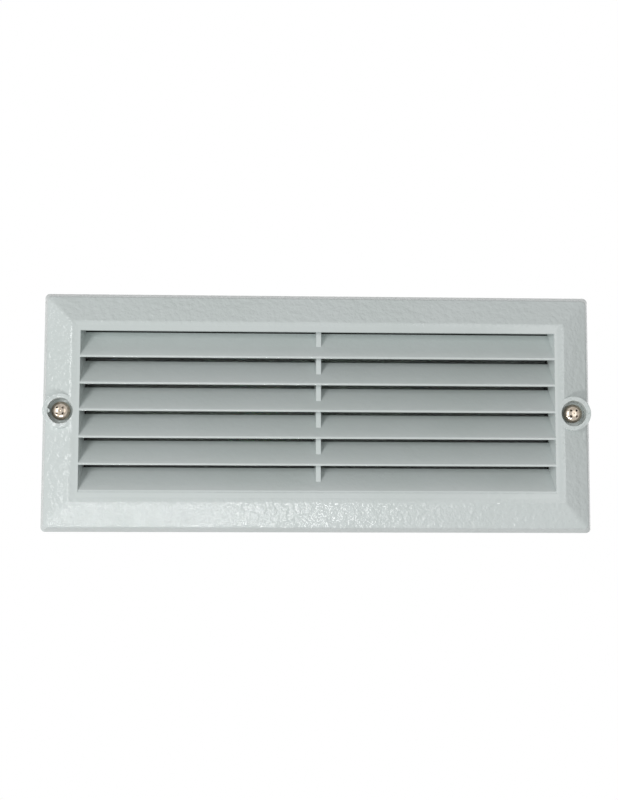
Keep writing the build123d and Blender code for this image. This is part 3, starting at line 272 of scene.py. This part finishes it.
# Glazed porcelain: creamy white under a thick clear glaze, with pinholes and iron specks.
porcelain = Finish("glazed_porcelain", "#E6E1D5", "#DDD6C6", 12, (0.08, 0.16), IOR=1.5, Coat_Weight=0.4)
porcelain.recolour(porcelain.specks(4, 0.16, 0.15), "#7A6B55")
porcelain.relief(porcelain.noise(5, detail=1), 0.08)
finishes["porcelain"] = porcelain.material

# Opal polycarbonate diffuser of the lamp, blown: milky, because light spreads inside its wall.
opal = Finish("opal_polycarbonate", "#E9E8E2", "#E1E0DA", 20, (0.3, 0.36), IOR=1.58)
opal.shader.inputs["Subsurface Weight"].default_value = 0.4
opal.shader.inputs["Subsurface Scale"].default_value = 2 * MM
opal.relief(opal.noise(0.8, detail=1), 0.006)
finishes["opal_dome"] = opal.material

# White moulded plastic of the lamp's collar: semi-gloss with faint flow lines along the lamp.
collar = Finish("white_moulded_pbt", "#DEDED9", "#D4D3CC", 8, (0.28, 0.38), stretch=(0.2, 1, 1), IOR=1.57)
collar.relief(collar.noise(0.5, detail=2), 0.01)
finishes["lamp_collar_plastic"] = collar.material

# Natural nylon and polyamide: cream, waxy, a little translucent.
natural = Finish("natural_polyamide", "#DAD5C6", "#CFC8B5", 6, (0.36, 0.48), IOR=1.53)
natural.shader.inputs["Subsurface Weight"].default_value = 0.25
natural.shader.inputs["Subsurface Scale"].default_value = 1 * MM
natural.relief(natural.noise(0.4, detail=2), 0.012)
finishes["nylon"] = natural.material
finishes["polyamide"] = natural.material

# Black nylon plug from a spark-eroded mould: an even matt grain.
eroded = Finish("spark_eroded_black_nylon", "#1C1C1E", "#29292A", 5, (0.5, 0.62), IOR=1.53)
eroded.relief(eroded.noise(0.35, detail=1), 0.03)
finishes["black_nylon"] = eroded.material

# Black glass insulator of the lamp: deep gloss with pressed ripples.
vitrite = Finish("pressed_black_glass", "#101114", "#191A1F", 4, (0.05, 0.12), IOR=1.55)
vitrite.relief(vitrite.noise(1.5, detail=1), 0.03)
finishes["black_glass"] = vitrite.material

# LED board: white solder resist; the chips standing above it are yellow phosphor.
chip_rise = 0.4 * MM
board = Finish("led_board_resist", "#E4E5E0", "#DADBD6", 6, (0.25, 0.35), IOR=1.5)
board.recolour(board.beyond("X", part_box("lamp_board")[1][0] - chip_rise), "#E0C04A")
board.relief(board.noise(0.6, detail=2), 0.01)
finishes["lamp_board"] = board.material

# ---- lead insulation ---------------------------------------------------------------------
# Silicone rubber over stranded wire: satin skin, slightly dusty, with the strands' lay just showing.
for slot_name, colour, stain in (
    ("brown_lead", "#5A3A26", "#6A4833"),
    ("blue_lead", "#2B5C9E", "#3B6BAA"),
    ("green_lead", "#3F8B3A", "#4A9644"),
):
    lead = Finish(slot_name + "_silicone", colour, stain, 4, (0.4, 0.52), IOR=1.42)
    lead.relief(lead.noise(0.9, detail=2), 0.03)
    if slot_name == "green_lead":
        facing = add(lead.tree, "ShaderNodeNewGeometry").outputs["Normal"]
        sideways = add(lead.tree, "ShaderNodeSeparateXYZ", {"Vector": facing}).outputs["Y"]
        stripe = add(lead.tree, "ShaderNodeMath", {0: sideways, 1: -0.45}, operation="LESS_THAN")
        lead.recolour(stripe.outputs[0], "#E3D43A")
    finishes[slot_name] = lead.material

for part in frame["record"]["subparts"]:
    node = nodes[part["node"]]
    node.data.materials.clear()
    node.data.materials.append(finishes[part["material_slot"]])


# ---- the cover's painted edges -----------------------------------------------------------
BEVEL_RISE = 4.5 * MM  # the flat face stands this far in front of the rim's front edge
FORM_EDGE = 0.55 * MM  # paint over the rim's and the face's outer edges
CUT_EDGE = 0.3 * MM  # paint over the edges of the opening, the pads and the counterbores
BAND = 17.2 * MM  # opening's edge to the outline, through rim, bevel and flat band
CUT_INTO_BAND = 2 * MM  # from the opening's edge to the cuts along the band's middle
PAD_REACH = 7.6 * MM  # from a screw's middle to just past its pad
PAD_GROOVE = 1.2 * MM  # half the height of the stretch round a pad's groove, whose edges stay sharp
SHARP = math.radians(12)
FACES_OUT = -0.999  # y of the normal of a face that looks straight out of the wall
WELD = 0.002 * MM  # corners this close are one
NEAR = 0.01 * MM  # what counts as in the face's plane
LOOSE = 0.05 * MM  # what counts as there for an edge's middle


def sharp_edges(mesh):
    """Which edges lie between faces that meet at more than SHARP, which of them stand out, and their middles.

    Two faces stand out where the centre of one lies behind the plane of the other.
    """
    ends = np.empty(2 * len(mesh.edges), int)
    mesh.edges.foreach_get("vertices", ends)
    places = np.empty(3 * len(mesh.vertices))
    mesh.vertices.foreach_get("co", places)
    middles = places.reshape(-1, 3)[ends.reshape(-1, 2)].mean(axis=1)
    faces = len(mesh.polygons)
    normals, centres, sides = np.empty(3 * faces), np.empty(3 * faces), np.empty(faces, int)
    mesh.polygons.foreach_get("normal", normals)
    mesh.polygons.foreach_get("center", centres)
    mesh.polygons.foreach_get("loop_total", sides)
    around = np.empty(len(mesh.loops), int)
    mesh.loops.foreach_get("edge_index", around)
    order = np.argsort(around, kind="stable")
    owner = np.repeat(np.arange(faces), sides)[order]
    paired = np.bincount(around, minlength=len(mesh.edges)) == 2
    first = np.searchsorted(around[order], np.arange(len(mesh.edges)))[paired]
    one, other = owner[first], owner[first + 1]
    normals, centres = normals.reshape(-1, 3), centres.reshape(-1, 3)
    turned = (normals[one] * normals[other]).sum(axis=1) < math.cos(SHARP)
    outward = ((centres[other] - centres[one]) * normals[one]).sum(axis=1) < 0
    sharp, convex = np.ones(len(mesh.edges), bool), np.zeros(len(mesh.edges), bool)
    sharp[paired] = turned
    convex[paired] = turned & outward
    return sharp, convex, middles


def tidy_faces(work, low, high):
    """Joins flat faces, and splits the flat band into cells with no hole, so that each edge can take an arc.

    The band is cut by lines along its middle and by one through the screws, and what else crosses it goes.
    """
    bmesh.ops.remove_doubles(work, verts=work.verts, dist=WELD)
    bmesh.ops.dissolve_limit(work, angle_limit=math.radians(0.4), verts=work.verts, edges=work.edges)
    half_x, half_z = high[0] - BAND + CUT_INTO_BAND, high[2] - BAND + CUT_INTO_BAND
    cuts = [(0, half_x), (0, -half_x), (2, half_z), (2, -half_z), (2, 0)]
    for axis, place in cuts:
        point, direction = [0, 0, 0], [0, 0, 0]
        point[axis], direction[axis] = place, 1
        facing = [f for f in work.faces if f.normal.y < FACES_OUT]
        front = [f for f in facing if f.calc_center_median().y < low[1] + NEAR]
        around = {e for f in front for e in f.edges} | {v for f in front for v in f.verts}
        bmesh.ops.bisect_plane(
            work, geom=[*front, *around], dist=0.001 * MM, plane_co=point, plane_no=direction
        )
    crossing = []
    for edge in work.edges:
        middle = (edge.verts[0].co + edge.verts[1].co) / 2
        on_band = all(f.normal.y < FACES_OUT for f in edge.link_faces) and middle.y < low[1] + NEAR
        outer = abs(middle.x) > half_x + NEAR or abs(middle.z) > half_z + NEAR
        on_cut = any(max(abs(v.co[axis] - place) for v in edge.verts) < WELD for axis, place in cuts)
        if on_band and outer and not on_cut:
            crossing.append(edge)
    bmesh.ops.dissolve_edges(work, edges=crossing, use_verts=False)


low, high = (np.array(corner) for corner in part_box("front_cover"))
mesh = nodes["front_cover"].data.copy()
work = bmesh.new()
work.from_mesh(mesh)
tidy_faces(work, low, high)
work.to_mesh(mesh)
work.free()
mesh.shade_smooth()

# The front edges get an arc each, wide on the outer form and narrow at what is cut into it.
sharp, convex, middles = sharp_edges(mesh)
inset = (high[[0, 2]] - np.abs(middles[:, [0, 2]])).min(axis=1)
at_front = middles[:, 1] < low[1] + BEVEL_RISE + 2 * LOOSE
screw_low, screw_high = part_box("right_cover_screw")
screw_away = np.hypot(np.abs(middles[:, 0]) - (screw_low[0] + screw_high[0]) / 2, middles[:, 2])
at_pads = screw_away < PAD_REACH
on_face = middles[:, 1] < low[1] + LOOSE
lip = on_face & (np.abs(high[2] - np.abs(middles[:, 2]) - BAND) < LOOSE)
rims = on_face & at_pads & (np.abs(middles[:, 2]) > PAD_GROOVE)
weight = np.where(convex & at_front & (inset < BAND - 1 * MM) & ~at_pads, 1.0, 0.0)
weight[convex & (lip | rims)] = CUT_EDGE / FORM_EDGE
mesh.attributes.new("bevel_weight_edge", "FLOAT", "EDGE").data.foreach_set("value", weight)
mesh.attributes.new("sharp_edge", "BOOLEAN", "EDGE").data.foreach_set("value", sharp & (weight == 0))
painted = bpy.data.objects.new("front_cover_finished", mesh)
bpy.context.scene.collection.objects.link(painted)
rounding = painted.modifiers.new("rounded_edges", "BEVEL")
rounding.width = FORM_EDGE
rounding.segments = 3
rounding.limit_method = "WEIGHT"
rounding.use_clamp_overlap = False
flat_faces = painted.modifiers.new("faces_stay_flat", "WEIGHTED_NORMAL")
flat_faces.keep_sharp = True
flat_faces.weight = 100
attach(painted, "cover")
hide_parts("front_cover")

# ---- light -------------------------------------------------------------------------------
# The room is plain white to the camera and in reflections, and dimmer as a light, so the lamps give shape.
ROOM_LEVEL = 0.335
world = bpy.data.worlds.new("white_room")
bpy.context.scene.world = world
world.use_nodes = True
room = world.node_tree
room.nodes.clear()
path = add(room, "ShaderNodeLightPath").outputs
seen = add(room, "ShaderNodeMath", {0: path["Is Camera Ray"], 1: path["Is Glossy Ray"]}, operation="MAXIMUM")
seen = add(
    room, "ShaderNodeMath", {0: seen.outputs[0], 1: path["Is Transmission Ray"]}, operation="MAXIMUM"
)
level = add(room, "ShaderNodeMapRange", {"Value": seen.outputs[0], "To Min": ROOM_LEVEL, "To Max": 1.0})
sky = add(room, "ShaderNodeBackground", {"Color": linear("#FFFFFF"), "Strength": level.outputs[0]})
add(room, "ShaderNodeOutputWorld", {"Surface": sky.outputs[0]})


def softbox(name, place, width, height, brightness):
    """A flat white lamp of this width and height in metres, turned to the step light.

    Its power is the brightness times pi times its area. Its face is then pi / 4 times the brightness, where
    the room's white is 1.
    """
    lamp = bpy.data.lights.new(name, "AREA")
    lamp.shape = "RECTANGLE"
    lamp.size = width
    lamp.size_y = height
    lamp.energy = brightness * math.pi * width * height
    holder = bpy.data.objects.new(name, lamp)
    holder.location = place
    holder.rotation_euler = Vector(place).to_track_quat("Z", "Y").to_euler()
    bpy.context.scene.collection.objects.link(holder)


softbox("left_window", (-0.72, -1.04, 0.08), 0.36, 0.7, 7.3)
softbox("right_fill", (0.52, -1.15, 0.05), 0.4, 0.7, 1.6)
# A row of short tubes with gaps, so that the bright reflection in the lower bevel is broken up.
for number, middle in enumerate((-0.32, -0.21, -0.1, 0.01)):
    softbox(f"low_tube_{number}", (middle, -0.55, -0.59), 0.07, 0.07, 25.0)
softbox("low_left_spot", (-0.6, -0.49, -0.41), 0.13, 0.13, 13.0)

# ---- camera ------------------------------------------------------------------------------
# Placed so that the outline, the louvre's lines and the screws fall where the photograph has them.
CAMERA_TURN = [math.radians(a) for a in (-4.628, -1.901, 0.347)]  # about its right, down and forward axes
CAMERA_STAND = np.array((3.91, 5.94, 500.0)) * MM  # the light's origin in the camera's axes
FOCAL_WIDTHS = 1136.25 / 618  # focal length over the picture's width

turn_x, turn_y, turn_z = (np.array(Matrix.Rotation(a, 3, n)) for a, n in zip(CAMERA_TURN, "XYZ"))
level_axes = np.array(((1, 0, 0), (0, 0, -1), (0, 1, 0)), float)
axes = turn_z @ turn_y @ turn_x @ level_axes
eye = -axes.T @ CAMERA_STAND
camera = bpy.data.cameras.new("camera")
camera.sensor_fit = "HORIZONTAL"
camera.sensor_width = 36
camera.lens = camera.sensor_width * FOCAL_WIDTHS
camera.clip_start = 0.01
camera_object = bpy.data.objects.new("camera", camera)
placing = np.eye(4)
placing[:3, :3] = np.column_stack((axes[0], -axes[1], -axes[2]))
placing[:3, 3] = eye
camera_object.matrix_world = Matrix(placing)
bpy.context.scene.collection.objects.link(camera_object)
bpy.context.scene.camera = camera_object

bpy.context.scene.view_settings.view_transform = "Standard"

bpy.context.view_layer.update()
